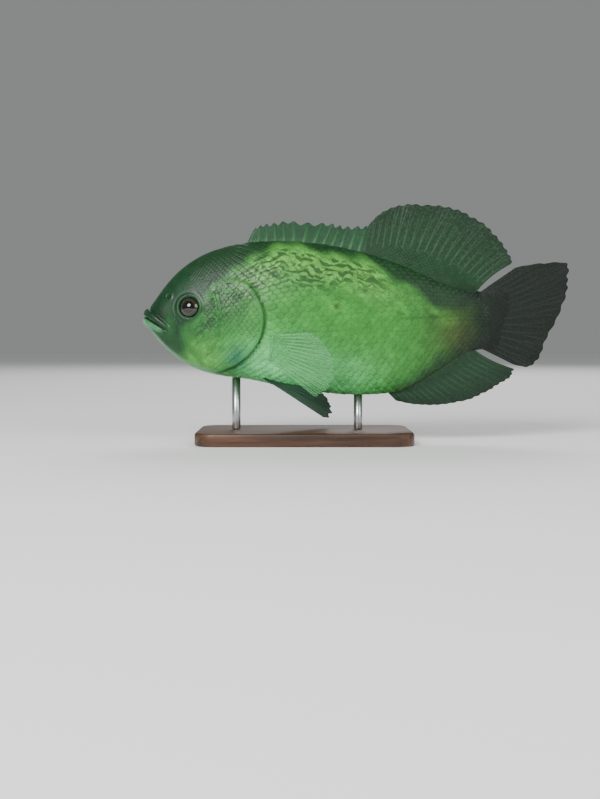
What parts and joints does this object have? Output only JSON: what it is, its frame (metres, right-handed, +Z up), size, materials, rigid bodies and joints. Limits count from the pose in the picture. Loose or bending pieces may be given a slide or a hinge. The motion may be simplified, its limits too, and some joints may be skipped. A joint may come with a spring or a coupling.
{
  "type": "oscar fish",
  "caption": "Life-size still model of an oscar cichlid, deep-bodied with long dorsal and anal fins, on a plain display stand.",
  "frame": {"origin": "centre of the underside of the stand's base", "axes": "+Z up, the fish faces -X with its left side towards -Y, and its length lies along X"},
  "size_m": [0.3039, 0.084, 0.167],
  "materials": {
    "head_skin": "smooth wet-looking skin, dark green",
    "flank_skin": "fine scales with a soft sheen, leaf green",
    "eye": "polished, dark pupil in a dull amber ring",
    "fin": "satin, dark green",
    "clear_fin": "thin and half clear, pale green",
    "stand_wood": "satin oiled dark walnut",
    "stand_steel": "satin"
  },
  "bodies": {
    "root": {"head": "head_skin", "lower_jaw": "head_skin", "trunk": "flank_skin", "tail_stalk": "flank_skin", "gill_cover_right": "flank_skin", "gill_cover_left": "flank_skin", "eye_right": "eye", "eye_left": "eye", "dorsal_fin_spiny": "fin", "dorsal_fin_soft": "fin", "caudal_fin": "fin", "anal_fin": "fin", "pectoral_fin_right": "clear_fin", "pectoral_fin_left": "clear_fin", "pelvic_fin_right": "fin", "pelvic_fin_left": "fin", "stand_base": "stand_wood", "stand_rod_front": "stand_steel", "stand_rod_rear": "stand_steel"}
  },
  "joints": []
}
